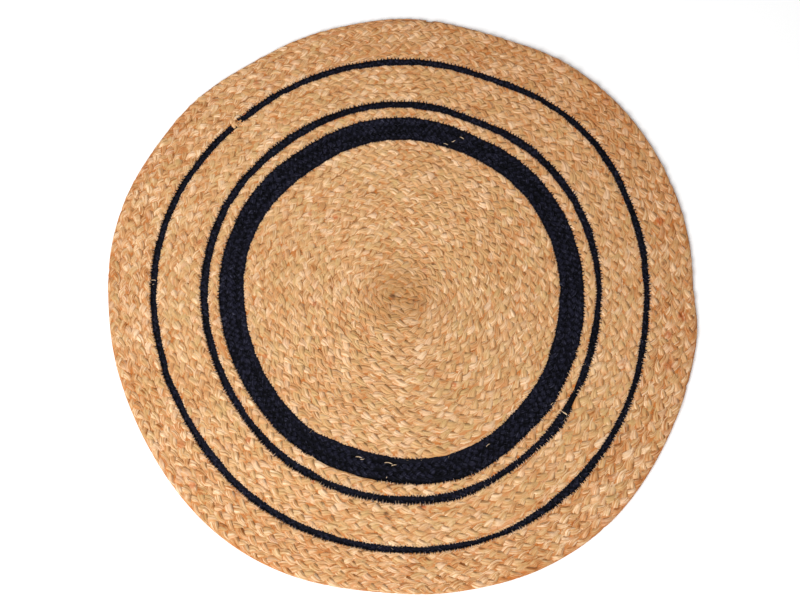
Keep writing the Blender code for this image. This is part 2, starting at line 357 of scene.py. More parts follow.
def braid(band, course, rng):
    """Three strands, each of a few bundles of fibre side by side. With the phase p growing by 2 pi in a
    period, and a third of that between two strands, a strand's middle lies sway * sin(p) across the row and
    lift * -sin(2 p) above the braid's middle. So it comes in over the row and goes out under it, and the
    plait points clockwise. Gives the points, shaped (bundle, ring, point, 3), their places along the row,
    and their petals."""
    plait = PLAITS[band.dye]
    widest, length = course.half.max(), course.along[-1]
    along = np.linspace(0.0, length, int(round(length / plait.period * plait.steps)) + 1)
    half = np.interp(along, course.along, course.half)
    kept = half > NARROWEST * widest
    along, half = along[kept], half[kept]
    bearing = course.start - np.interp(along, course.along, course.turned)
    pace = 1 + TIGHTENING * np.cos(np.radians(bearing - TIGHT_BEARING))
    turns = np.cumsum(pace) * (along[1] - along[0]) / plait.period
    for stray in PACE_STRAYS:
        turns = turns + wander(along, stray, rng)
    phase = 2 * np.pi * (turns[None] + np.arange(3)[:, None] / 3)
    broader, deeper, aside, higher = (
        wander(along, stray, rng, 3).T for stray in (BREADTH_STRAY, DEPTH_STRAY, ACROSS_STRAY, HEIGHT_STRAY)
    )
    reach = half * plait.spare
    thick = band.crest * np.sqrt(half / widest)
    at_side = np.abs(np.sin(phase)) ** 3
    breadth = reach * (plait.breadth + (plait.edge_breadth - plait.breadth) * at_side) * (1 + broader)
    depth = thick * (plait.depth + (plait.edge_depth - plait.depth) * at_side) * (1 + deeper)
    across = reach * (plait.sway * np.sin(phase) + aside)
    lift = thick * (0.5 - plait.depth)
    height = band.crest / 2 - lift * np.sin(2 * phase) + higher
    centre = np.stack([np.broadcast_to(along, phase.shape), across, height], axis=-1)
    sideways, upwards = strand_axes(centre, ROLL * np.sin(phase) * np.sin(2 * phase))
    parts = []
    for strand, plies in enumerate(plait.plies):
        bundle = BUNDLES[plies]
        drift = wander(along, TURN_STRAY, rng)
        if plies > 2:
            drift = drift + 2 * np.pi * along / STRAND_TWIST
        for ply in range(plies):
            turn = drift + 2 * np.pi * ply / plies
            swell = 1 + wander(along, BUNDLE_STRAY, rng, 2)
            out = breadth[strand] * bundle.apart * np.cos(turn)
            up = depth[strand] * bundle.above * np.sin(turn)
            wide = breadth[strand] * bundle.wide * swell[:, 0]
            tall = depth[strand] * bundle.tall * swell[:, 1]
            axes = (centre[strand], sideways[strand], upwards[strand])
            parts.append(section(plait.around, axes, (out, up), (wide, tall)))
    points = np.stack(parts)
    points[..., 1:] += ROUGHNESS * rng.standard_normal(points.shape[:3] + (2,))
    least = -np.interp(along, course.along, course.to_inner) - PRESSED[band.dye]
    most = np.interp(along, course.along, course.to_outer) + PRESSED[band.dye]
    points[..., 1] = np.clip(points[..., 1], least[:, None], most[:, None])
    points = on_floor(course, points[..., 0], points[..., 1], np.maximum(points[..., 2], FLOOR_GAP))
    return points, along, petals(phase, plait, rng)


def unit(vectors):
    """The vectors at length 1."""
    return vectors / np.linalg.norm(vectors, axis=-1, keepdims=True)


def strand_axes(centre, roll):
    """The sideways and upwards axes of lines of points, at right angles to the line: sideways is level, and
    then both are turned by the roll about it."""
    forward = unit(np.gradient(centre, axis=1))
    sideways = unit(np.stack([-forward[..., 1], forward[..., 0], np.zeros(roll.shape)], axis=-1))
    upwards = np.cross(forward, sideways)
    cos, sin = np.cos(roll)[..., None], np.sin(roll)[..., None]
    return cos * sideways + sin * upwards, cos * upwards - sin * sideways


def section(around, axes, offset, size):
    """The points round a bundle, ring by ring. With the angle a in even steps, the corners a little squared
    and axes the strand's middle, sideways and upwards, they are (out + wide * cos(a)) sideways and (up +
    tall * sin(a)) upwards of the middle. offset is (out, up) and size is (wide, tall)."""
    angle = 2 * np.pi * (np.arange(around) + 0.5) / around - np.pi / 2
    middle, sideways, upwards = (axis[:, None] for axis in axes)
    right, high = (
        (shift[:, None] + half[:, None] * np.sign(wave) * np.abs(wave) ** CORNER_POWER)[..., None]
        for shift, half, wave in zip(offset, size, (np.cos(angle), np.sin(angle)))
    )
    return middle + right * sideways + high * upwards


def petals(phase, plait, rng):
    """Three random numbers for each time a strand shows, at the middle of each quarter turn of the plait
    and joined by straight lines: a bundle's own tone, and its strand's redness and paleness. Shaped
    (bundle, ring, 3)."""
    quarter = phase / (np.pi / 2) - 0.5
    knots = np.arange(math.floor(quarter.min()) - 1, math.ceil(quarter.max()) + 2)
    found = []
    for strand, plies in enumerate(plait.plies):
        shared = [np.interp(quarter[strand], knots, rng.uniform(0, 1, len(knots))) for _ in range(3)]
        for _ in range(plies):
            own = np.interp(quarter[strand], knots, rng.uniform(0, 1, len(knots)))
            found.append(np.stack([0.5 * shared[0] + 0.5 * own, shared[1], shared[2]], axis=-1))
    return np.stack(found)


def braid_pieces(band, course, material, rng):
    """The band's braid as pieces of a length that keeps each under MOST_TRIANGLES, and its points."""
    points, along, tones = braid(band, course, rng)
    bundles, rings, around = points.shape[:3]
    parts = math.ceil(2 * bundles * rings * around / MOST_TRIANGLES)
    cuts = np.linspace(0, rings - 1, parts + 1).astype(int)
    pieces = []
    for number, (start, end) in enumerate(zip(cuts, cuts[1:] + 1)):
        name = band.name + "_braid" + (f"_{number + 1}" if parts > 1 else "")
        mesh = tube_mesh(name, material, points[:, start:end])
        add_strand_maps(mesh, along[start:end], (bundles, end - start, around))
        add_tones(mesh, np.repeat(tones[:, start:end, None], around, axis=2))
        pieces.append(add_piece(mesh, band.dye, band.name))
    return pieces, points


MAP_MARGIN = 0.001  # around a bake's map
LANE_MARGIN = 0.04  # on each side of a bundle's strip in it, as a share of the strip
CAP_SIZE = 0.0003  # of an end cap in it


def add_strand_maps(mesh, along, shape):
    """Two maps for tubes of this shape, (bundles, rings, points around). strand is what the streaks follow:
    (metres along, share around plus the bundle's number). OFBake is for a bake: the bundles cut to equal
    lengths and laid side by side. The caps, which don't show, are at its edge."""
    bundles, rings, around = shape
    corner_vertices = np.empty(len(mesh.loops), np.int32)
    mesh.loops.foreach_get("vertex_index", corner_vertices)
    bundle, ring, point = np.unravel_index(corner_vertices, shape)
    quad_corners = bundles * (rings - 1) * around * 4
    place = np.arange(quad_corners) % 4
    wraps = np.zeros(len(corner_vertices), int)
    wraps[:quad_corners] = ((place == 1) | (place == 2)) & (point[:quad_corners] == 0)
    share = (point + wraps * around) / around
    add_map(mesh, "strand", np.stack([along[ring], bundle + share], axis=-1))
    first = np.repeat(ring[:quad_corners].reshape(-1, 4).min(axis=1), 4)
    lanes = max(1, int(round(math.sqrt((along[-1] - along[0]) / BUNDLE_GIRTH / bundles))))
    lane_length = int(math.ceil((rings - 1) / lanes))
    lane = first // lane_length
    u = (ring[:quad_corners] - lane * lane_length) / lane_length
    strip = lane * bundles + bundle[:quad_corners] + LANE_MARGIN
    v = (strip + (1 - 2 * LANE_MARGIN) * share[:quad_corners]) / (lanes * bundles)
    corners = np.zeros((len(corner_vertices), 2))
    corners[:quad_corners] = np.stack([MAP_MARGIN + (1 - 2 * MAP_MARGIN) * u, v], axis=-1)
    caps = [1 - MAP_MARGIN / 2 + CAP_SIZE * share[quad_corners:], CAP_SIZE / 3 * ring[quad_corners:] % 1]
    corners[quad_corners:] = np.stack(caps, axis=-1)
    add_map(mesh, "OFBake", corners)


class Relief:
    """The top of the braids: tops holds the highest point in each cell of a fine grid and its four
    neighbours, heights in the cell alone, or in the neighbours where it is empty."""

    CELL = 1.5 * MM
    FILL = 4  # the points filled in between two rings, with the first

    def __init__(self, braids):
        """braids are points shaped (bundle, ring, point, 3). More are filled in between them in even
        steps."""
        filled = []
        for points in braids:
            for rings in (points, (points + np.roll(points, -1, axis=2)) / 2):
                step = (rings[:, 1:] - rings[:, :-1]) / self.FILL
                filled += [(rings[:, :-1] + step * number).reshape(-1, 3) for number in range(self.FILL)]
        points = np.concatenate(filled)
        self.corner = points[:, :2].min(axis=0) - 3 * self.CELL
        size = np.ceil((points[:, :2].max(axis=0) - self.corner) / self.CELL).astype(int) + 3
        self.heights = np.zeros(size)
        np.maximum.at(self.heights, self.cells(points), points[:, 2])
        self.tops = self.heights.copy()
        for axis in (0, 1):
            for step in (-1, 1):
                self.tops = np.maximum(self.tops, np.roll(self.heights, step, axis))
        self.heights = np.where(self.heights > 0, self.heights, self.tops)

    def cells(self, places):
        """The cells that the places lie in, or the nearest ones."""
        index = ((places[..., :2] - self.corner) / self.CELL).astype(int)
        return tuple(np.clip(index[..., axis], 0, self.heights.shape[axis] - 1) for axis in (0, 1))

    def under(self, line):
        """The height of the braid under each point of the line."""
        return self.heights[self.cells(line)]

    def laid(self, lines, lift):
        """The lines, each point of them on the top of the braids there plus the lift."""
        heights = np.maximum(self.tops[self.cells(lines)], LEAST_HEIGHT) + lift
        return np.concatenate([lines[..., :2], heights[..., None]], axis=-1)


def tube_points(lines, radii, sides, flatness=1.0):
    """The points of thin tubes along lines shaped (tube, ring, 3), shaped (tube, ring, side, 3). Each ring
    is an ellipse across the line, with its radius on the level axis and flatness times as much on the
    other."""
    level, upright = (axis[:, :, None] for axis in strand_axes(lines, np.zeros(lines.shape[:2])))
    angle = 2 * np.pi * (np.arange(sides) + 0.5) / sides - np.pi / 2
    offset = np.cos(angle)[:, None] * level + flatness * np.sin(angle)[:, None] * upright
    return lines[:, :, None] + radii[..., None, None] * offset


def sewn_line(course, wanted, relief, rng):
    """The lines of a zigzag along the outer side of a row, lying on what is under it. ZIGZAG repeats every
    STITCH_PITCH. wanted gives, at each point of the course, the share of its swing, and no thread where it
    is 0."""
    shares, swings = np.array(ZIGZAG).T
    starts = np.arange(0.0, course.along[-1] - STITCH_PITCH, STITCH_PITCH)
    slips = STITCH_SLIP * rng.uniform(-1, 1, (len(starts), 1))
    along = (starts[:, None] + STITCH_PITCH * (shares + slips)).ravel()
    reach = np.interp(along, course.along, wanted)
    swing = np.tile(swings, len(starts)) * np.repeat(rng.uniform(*SWING_SHARES, len(starts)), len(swings))
    across = np.interp(along, course.along, course.half) + swing * reach
    line = on_floor(course, along, across, 0.0)
    sink = STITCH_SINK * rng.uniform(*SINK_SHARES, len(line))
    line[:, 2] = np.maximum(relief.under(line) - sink, LEAST_HEIGHT)
    used = np.concatenate([[0], (reach > 0).astype(int), [0]])
    breaks = np.flatnonzero(np.diff(used))
    return [line[start:end] for start, end in zip(breaks[::2], breaks[1::2]) if end - start >= FEWEST_POINTS]


def heart(strands, rng):
    """The pressed middle of the braids, which shows only between their strands: a thin closed sheet whose
    stations are the rows' seams and middles. Its columns are those of the solids, with the outer ring's
    opening and its mirror image in the hairpin, so that the points on the two sides of the hairpin's slit
    are the same."""
    opening = OPENING_BEARING + math.degrees(OPENING_WIDTH / 2 / BANDS[-2].outer) * np.array([-1, 1])
    bearings = np.sort(np.concatenate([AROUND, [360.0], opening, 2 * HAIRPIN_BEARING - opening + 360.0]))
    columns = len(bearings) - 1
    in_opening = np.isclose((bearings[:-1] + bearings[1:]) / 2, OPENING_BEARING)
    natural, black = 0, 1  # the materials' places in strands
    radii, tops, dyes = [np.zeros(len(bearings))], [BANDS[0].crest * SEAM_SHARE], []
    for band in BANDS:
        low, high = radii[-1], outer_side(band, bearings)
        dye = np.full(columns, natural if band.dye == "natural_jute" else black)
        if band.join_at is None:
            dye[in_opening] = natural
        for row in range(1, 2 * band.rows + 1):
            radii.append(low + (high - low) * row / band.rows / 2)
            tops.append(band.crest * (MIDDLE_SHARE if row % 2 else SEAM_SHARE))
            dyes.append(dye)
    radii[-1] = radii[-1] - HEART_MARGIN
    radii = np.array(radii)
    x, y = on_winding(radii, bearings)
    heights = np.array([np.full(len(tops), HEART_BOTTOM), tops])[:, :, None]
    points = np.stack(np.broadcast_arrays(x + WINDING_X, y + WINDING_Y, heights), axis=-1)
    low, high = np.arange(points[..., 0].size).reshape(points.shape[:3])
    top = np.stack([high[:-1, :-1], high[1:, :-1], high[1:, 1:], high[:-1, 1:]], axis=-1).reshape(-1, 4)
    under = np.stack([low[:-1, :-1], low[:-1, 1:], low[1:, 1:], low[1:, :-1]], axis=-1).reshape(-1, 4)
    wall = np.stack([low[-1, :-1], low[-1, 1:], high[-1, 1:], high[-1, :-1]], axis=-1)
    dyes = np.concatenate(dyes)
    face_dyes = np.concatenate([dyes, dyes, dyes[-columns:]])
    faces = [top, under, wall]
    mesh = new_mesh("braid_heart", points.reshape(-1, 3), faces, strands.values(), face_dyes)
    streaks = np.stack([np.radians(bearings) * radii, radii / HEART_STREAK], axis=-1).reshape(-1, 2)
    corners = np.concatenate([part.ravel() for part in faces]) % len(streaks)
    add_map(mesh, "strand", streaks[corners])
    add_tones(mesh, rng.uniform(0, 1, points.shape))
    work = bmesh.new()
    work.from_mesh(mesh)
    bmesh.ops.remove_doubles(work, verts=work.verts, dist=WELD)
    work.to_mesh(mesh)
    work.free()
    return mesh


# ---- Materials ----


class Value:
    """A number that varies over a surface. Its operators add Math nodes."""

    def __init__(self, finish, socket):
        self.finish = finish
        self.socket = socket

    def maths(self, operation, *others):
        made = self.finish.node("ShaderNodeMath", {"operation": operation}, *others)
        return Value(self.finish, made.outputs[0])

    def __add__(self, other):
        return self.maths("ADD", self, other)

    def __sub__(self, other):
        return self.maths("SUBTRACT", self, other)

    def __rsub__(self, other):
        return self.maths("SUBTRACT", other, self)

    def __mul__(self, other):
        return self.maths("MULTIPLY", self, other)

    def __pow__(self, other):
        return self.maths("POWER", self, other)

    __radd__ = __add__
    __rmul__ = __mul__

    def share(self):
        """What is left over its whole part."""
        return self.maths("FRACT", self)

    def apart(self, number):
        """Its distance from the number."""
        difference = self - number
        return difference.maths("ABSOLUTE", difference)

    def ramp(self, low, high):
        """0 below low, 1 above high, smooth between. With low above high it falls instead."""
        sockets = {"Value": self, "From Min": low, "From Max": high}
        found = self.finish.node("ShaderNodeMapRange", {"interpolation_type": "SMOOTHSTEP"}, **sockets)
        return Value(self.finish, found.outputs["Result"])


class Finish:
    """A procedural material, with the nodes that feed its Principled shader."""

    def __init__(self, name, **constants):
        self.material = bpy.data.materials.new(name)
        self.material.use_nodes = True
        self.tree = self.material.node_tree
        self.shader = self.tree.nodes["Principled BSDF"]
        for socket, value in constants.items():
            self.shader.inputs[socket.replace("_", " ")].default_value = value

    def node(self, kind, settings, *places, **named):
        """A node of this type: its settings first, then its sockets by place and by name or identifier."""
        made = self.tree.nodes.new(kind)
        for setting, value in settings.items():
            setattr(made, setting, value)
        sockets = list(zip(made.inputs, places))
        for name, value in named.items():
            found = (socket for socket in made.inputs if name in (socket.name, socket.identifier))
            sockets.append((next(found), value))
        for socket, value in sockets:
            value = getattr(value, "socket", value)
            if isinstance(value, bpy.types.NodeSocket):
                self.tree.links.new(value, socket)
            else:
                socket.default_value = value
        return made

    def feed(self, socket, value):
        """Links a value or a colour to a socket of the shader."""
        self.tree.links.new(getattr(value, "socket", value), self.shader.inputs[socket])

    def parts(self, vector):
        """The three numbers of a vector."""
        split = self.node("ShaderNodeSeparateXYZ", {}, vector)
        return [Value(self, socket) for socket in split.outputs]

    def vector(self, *numbers):
        return self.node("ShaderNodeCombineXYZ", {}, *numbers).outputs[0]

    def noise(self, vector, scale, detail=2.0, roughness=0.5):
        sockets = {"Vector": vector, "Scale": scale, "Detail": detail, "Roughness": roughness}
        return Value(self, self.node("ShaderNodeTexNoise", {}, **sockets).outputs[0])

    def blend(self, share, low, high):
        """The colour low where share is 0 and high where it is 1."""
        sockets = {"Factor_Float": share, "A_Color": low, "B_Color": high}
        made = self.node("ShaderNodeMix", {"data_type": "RGBA"}, **sockets)
        return next(found for found in made.outputs if found.identifier == "Result_Color")


def srgb(red, green, blue):
    """A linear colour from the 0 to 255 values that a screen shows."""
    steps = [value / 255 for value in (red, green, blue)]
    return [s / 12.92 if s < 0.04045 else ((s + 0.055) / 1.055) ** 2.4 for s in steps] + [1.0]


# Stained places of each colour: x, y and reach in millimetres, from the middle of the winding, and how
# strong it is
Stain = namedtuple("Stain", "x y reach depth")
STAINS = (
    # rust: the redder lengths of single strands
    (srgb(178, 88, 44), (
        (34, 39, 6, 0.6), (77, -138, 6, 0.9), (-104, 123, 6, 0.8), (100, 118, 5, 0.8),
        (-108, -108, 6, 0.7), (-134, -14, 5, 0.6), (-143, 128, 5, 0.6), (31, -321, 6, 0.9),
        (-133, -282, 5, 0.8), (-231, -221, 7, 0.8), (426, -34, 11, 1.0), (398, 116, 10, 1.0),
        (404, -62, 9, 0.8), (402, -108, 12, 0.6), (-312, 83, 7, 0.6), (-230, 340, 8, 0.7),
        (-208, -94, 5, 0.7), (-331, -227, 9, 0.6), (-312, -288, 8, 0.6),
    )),
    # brown: the hairpin's ends first, then dark knots of fibre
    (srgb(96, 54, 32), (
        (-15.5, -3, 8, 0.75), (20, -9.5, 7, 0.55), (31, -14, 6, 0.6), (47, 49, 4, 0.7),
        (17, 16, 4, 0.4), (-114, -22, 2.2, 0.8), (-116, -55, 2.2, 0.8), (103, 302, 4.5, 0.7),
        (-24, -330, 6, 0.8), (-19, -336, 4.5, 0.8), (27, -317, 4, 0.8), (400, 49, 5, 0.8),
        (-217, -278, 4, 0.6), (-223, 259, 6, 0.5), (-297, 134, 5, 0.6),
    )),
)
STAIN_MIDDLE = 0.3  # share of a stain's reach within which it is at its strongest


def stained(finish, colour, x, y, ragged):
    """The colour with the stains over it: each a disc that fades to its rim, broken up where ragged is
    low."""
    for tone, stains in STAINS:
        for stain in map(Stain._make, stains):
            across, up = x - (WINDING_X + stain.x * MM), y - (WINDING_Y + stain.y * MM)
            near = (across ** 2 + up ** 2) ** 0.5
            share = near.ramp(stain.reach * MM, stain.reach * STAIN_MIDDLE * MM) * ragged * stain.depth
            colour = finish.blend(share, colour, tone)
    return colour


def strand_places(finish):
    """What the strands' materials read: the strand map's two numbers, the place's three, the petal's three,
    and the place as a vector."""
    along, around, _ = finish.parts(finish.node("ShaderNodeUVMap", {"uv_map": "strand"}).outputs[0])
    place = finish.node("ShaderNodeTexCoord", {}).outputs["Object"]
    petal = finish.node("ShaderNodeAttribute", {"attribute_name": "petal"}).outputs["Vector"]
    return (along, around), finish.parts(place), finish.parts(petal), place


def natural_jute():
    """Natural jute: streaks along each strand, a tone of its own each time a strand shows, a redder rim and
    a browner middle.
    Paler crests, as wear and as painted light, and painted shade: darker low down, warmer and darker down
    the sides of the bundles and in the creases between them, and darker towards the far top right as a
    painted falloff of light."""
    finish = Finish("natural_jute_strands", Specular_IOR_Level=0.10)
    (along, around), (x, y, z), (tone, red, pale), place = strand_places(finish)
    radius = ((x - WINDING_X) ** 2 + (y - WINDING_Y) ** 2) ** 0.5
    fine = finish.noise(finish.vector(along * 50, around * 26), 1.0, 2.0, 0.6)
    broad = finish.noise(finish.vector(along * 60, around * 8, 7.0), 1.0, 2.0, 0.5)
    streak = finish.noise(finish.vector(along * 16, around * 11, 3.0), 1.0, 1.0, 0.5)
    zone, patch, blotch, mottle = (
        finish.noise(place, scale, detail, roughness)
        for scale, detail, roughness in ((7, 1, 0.5), (30, 2, 0.5), (48, 2, 0.6), (150, 2, 0.6))
    )
    rim = radius.ramp(0.375, 0.40)
    rim_red = rim * 0.09 + radius.ramp(0.44, 0.452) * 0.3
    contrast = radius.ramp(0.36, 0.40) * 0.36 + 0.92

    # How light the fibre is
    light = (fine - 0.5) * 1.0 + (broad - 0.5) * 1.2 + (tone - 0.5) * 0.50 + (patch - 0.5) * 0.35
    light = (light + (mottle - 0.5) * 0.5) * contrast + 0.48
    # Painted light and shade, partly wear: paler on the crests, darker low down between the strands
    light = light + z.ramp(4.0 * MM, 7.5 * MM) * 0.14 - 0.08
    colour = finish.blend(light.ramp(0.05, 0.55), srgb(152, 86, 34), srgb(198, 154, 105))
    colour = finish.blend(light.ramp(0.50, 0.98), colour, srgb(240, 207, 168))

    # Bleached strands, pale and tan streaks, and greener places
    colour = finish.blend(pale.ramp(0.66, 1.0) * 0.6, colour, srgb(234, 202, 168))
    colour = finish.blend(streak.ramp(0.58, 0.72) * contrast * 0.6, colour, srgb(240, 208, 174))
    colour = finish.blend(streak.ramp(0.44, 0.30) * contrast * 0.55, colour, srgb(190, 126, 72))
    khaki = (pale.ramp(0.45, 0.10) + blotch.ramp(0.46, 0.34)) * light.ramp(0.15, 0.50) * 0.5
    colour = finish.blend(khaki, colour, srgb(192, 156, 104))

    # Redder strands, most of them at the rim, and the browner middle
    spots = mottle.ramp(0.35, 0.60)
    orange = red.ramp(0.55, 0.95) * broad.ramp(0.35, 0.60) * spots + blotch.ramp(0.54, 0.68) * spots * 0.6
    colour = finish.blend(orange * 0.5, colour, srgb(210, 152, 97))
    deeper = orange * (rim_red * 1.2 + 0.5) + rim_red * zone.ramp(0.3, 0.6)
    colour = finish.blend(deeper * (light.ramp(0.80, 0.25) * 0.8 + 0.2), colour, srgb(168, 92, 44))
    colour = finish.blend(radius.ramp(0.085, 0.01) * 0.55, colour, srgb(158, 110, 60))
    colour = stained(finish, colour, x, y, mottle.ramp(0.25, 0.60))

    # Painted shade: warmer and darker down the sides of the bundles and deep between them, and a painted
    # falloff of light, browner and darker at the far top right and a little over the rim
    painted_flank_shade = around.share().apart(TOP_SHARE).ramp(0.15, 0.24)
    painted_crease_shade = z.ramp(7.2 * MM, 5.0 * MM)
    painted_shade = painted_flank_shade * 0.42 + painted_crease_shade * (painted_flank_shade * 0.45 + red.ramp(0.3, 0.9) * 0.2 + rim_red + 0.06)
    colour = finish.blend(painted_shade, colour, srgb(184, 108, 48))
    # Painted falloff of the lamp's light: darker towards the far top right, and a little over the rim
    far = (x + y).ramp(0.10, 0.62) * 0.25 + rim * 0.06
    colour = finish.blend(far, colour, srgb(164, 100, 48))

    finish.feed("Base Color", colour)
    finish.feed("Roughness", 0.50 + fine * 0.25)
    height = fine * 0.4 + broad * 0.8
    bump = finish.node("ShaderNodeBump", {}, Height=height, Strength=0.5, Distance=1.0 * MM)
    finish.feed("Normal", bump.outputs[0])
    return finish.material


def black_jute():
    """Near-black dyed jute with a blue cast, where a few fibres took less dye. It is painted lighter on the
    crests and darker in the grooves, as painted light and shade, and its paler flecks show only on the
    crests, partly as painted highlights.
    """
    finish = Finish("black_jute_strands", Specular_IOR_Level=0.08)
    (along, around), (_, _, z), (tone, _, _), _ = strand_places(finish)
    fine = finish.noise(finish.vector(along * 60, around * 24), 1.0, 2.0, 0.6)
    fleck = finish.noise(finish.vector(along * 100, around * 14), 1.0, 2.0, 0.6)
    # Painted light and shade: lighter on the crests, darker down in the grooves
    light = fine * 0.55 + tone * 0.25 + z.ramp(5.0 * MM, 6.3 * MM) * 0.3
    colour = finish.blend(light.ramp(0.3, 0.8), srgb(0, 0, 2), srgb(22, 22, 36))
    # Flecks of less-dyed fibre, shown only on the crests, where they partly paint highlights
    colour = finish.blend(fleck.ramp(0.50, 0.85) * z.ramp(5.0 * MM, 6.2 * MM), colour, srgb(78, 78, 94))
    finish.feed("Base Color", colour)
    finish.feed("Roughness", 0.65 + fine * 0.25)
    bump = finish.node("ShaderNodeBump", {}, Height=fine, Strength=0.5, Distance=0.4 * MM)
    finish.feed("Normal", bump.outputs[0])
    return finish.material


def thread_finish(name, low, high):
    """A plain fibre's material, from one colour to another in a fine grain."""
    finish = Finish(name, Roughness=0.7, Specular_IOR_Level=0.10)
    place = finish.node("ShaderNodeTexCoord", {}).outputs["Object"]
    grain = finish.noise(place, 900.0, 1.0, 0.5)
    finish.feed("Base Color", finish.blend(grain.ramp(0.3, 0.7), low, high))
    return finish.material


# ---- The rug ----


# The zigzag between two rows: pairs of (share of STITCH_PITCH along, metres outwards from the seam)
ZIGZAG = ((0.0, -2.6 * MM), (0.5, 2.6 * MM))
STITCH_SLIP = 0.04  # shares of the pitch that a stitch lies off its place
SWING_SHARES = (0.75, 1.2)  # the least and the most of a stitch's swing
STITCH_SINK = 0.5 * MM  # how far it is drawn in
THREAD_RADIUS = 0.3 * MM
SINK_SHARES = (0.5, 1.3)
FEWEST_POINTS = 9  # of a run of stitches
# The teeth along the sides of the dark rings, in millimetres. pitch: from one to the next. pale: how far
# those of pale thread reach into the dark row. dark: how far those of dark fibre reach out of it. more: how
# much further the pale ones do around a bearing, and the dark ones a third of that.
Teeth = namedtuple("Teeth", "pitch pale dark more bearing spread")
TEETH = {
    "black_wide_band": Teeth(5.8, 0.9, 0.8, 0.6, 300, 75),
    "black_inner_ring": Teeth(4.8, 0.9, 0.8, 1.2, 285, 65),
    "black_outer_ring": Teeth(5.6, 0.8, 0.7, 0.8, 300, 80),
}
OUTER_MORE = 0.3  # the share by which they reach further on a row's outer side, and less far on its inner
TOOTH_ROOT = 2.6 * MM  # how far it goes back beyond the seam
TOOTH_SLIP = 0.3  # shares of the pitch that a tooth lies off its place
TOOTH_LENGTHS, TOOTH_RADII = (0.1, 1.7), (0.7, 1.2)  # shares of its own, from the least to the most
TOOTH_LEAN, TOOTH_LIFT = 0.6 * MM, 0.2 * MM
# The two kinds. towards: 1 outwards from the dark row and -1 into it.
ToothKind = namedtuple("ToothKind", "name towards radius slot")
TOOTH_KINDS = (
    ToothKind("pale", -1, 0.6 * MM, "natural_jute"),
    ToothKind("dark", 1, 1.3 * MM, "black_jute"),
)


def teeth(course, side, reach, pitch, kind, relief, rng):
    """Short strands across one side of a row, from TOOTH_ROOT before the seam to reach beyond it, tapering
    by the cube of the way along them. side is 1 for the row's outer side and -1 for its inner. Gives their
    lines and radii, shaped (tooth, 3, 3) and (tooth, 3)."""
    along = np.arange(pitch * (1 + kind.towards / 4), course.along[-1], pitch)
    along = along + TOOTH_SLIP * pitch * rng.uniform(-1, 1, along.shape)
    length = np.interp(along, course.along, reach) * rng.uniform(*TOOTH_LENGTHS, along.shape)
    along, length = along[length > 0, None], length[length > 0, None]
    share = np.array([0, 0.6, 1])
    beyond = -TOOTH_ROOT + (length + TOOTH_ROOT) * share
    across = side * (np.interp(along, course.along, course.half) + kind.towards * beyond)
    lean = rng.normal(0, TOOTH_LEAN, along.shape) * share
    lines = relief.laid(on_floor(course, along + lean, across, 0.0), TOOTH_LIFT)
    taper = np.broadcast_to(1 - 0.6 * share ** 3, lines.shape[:2])
    return lines, kind.radius * taper * rng.uniform(*TOOTH_RADII, along.shape)


def sewing(courses, relief, black):
    """The thread that sews the rows: a zigzag between two rows of one band, and teeth of pale thread and of
    dark fibre along the sides of the dark rings."""
    rng = np.random.default_rng(200)
    tan = thread_finish("seam_thread", srgb(204, 152, 96), srgb(238, 194, 142))
    grey = thread_finish("dark_seam_thread", srgb(34, 34, 46), srgb(64, 64, 80))
    pale = thread_finish("tooth_thread", srgb(150, 122, 108), srgb(230, 198, 166))
    tooth_finishes = {"pale": pale, "dark": black}
    pieces = []
    for band, course in zip(BANDS, courses):
        broad = course.half > 2 * MM
        dark = band.dye == "black_jute"
        if band.rows > 1:
            lines = sewn_line(course, (broad & ~course.outermost) * (0.5 if dark else 1.0), relief, rng)
            groups = [tube_points(line[None], np.full((1, len(line)), THREAD_RADIUS), 3) for line in lines]
            mesh = tube_mesh(band.name + "_thread", grey if dark else tan, *groups)
            pieces.append(add_piece(mesh, "natural_jute"))
        if not dark:
            continue
        row = TEETH[band.name]
        more = row.more * hump(course.start - course.turned, row)
        reaches = {"pale": row.pale + more, "dark": row.dark + more / 3}
        for kind in TOOTH_KINDS:
            found = []
            for side, at_side in ((1, course.outermost), (-1, course.innermost)):
                reach = broad * at_side * (1 + OUTER_MORE * side) * reaches[kind.name] * MM
                found.append(teeth(course, side, reach, row.pitch * MM, kind, relief, rng))
            lines, radii = (np.concatenate(part) for part in zip(*found))
            points = tube_points(lines, radii, 4, 0.6)
            mesh = tube_mesh(f"{band.name}_{kind.name}_teeth", tooth_finishes[kind.name], points)
            pieces.append(add_piece(mesh, kind.slot))
    return pieces


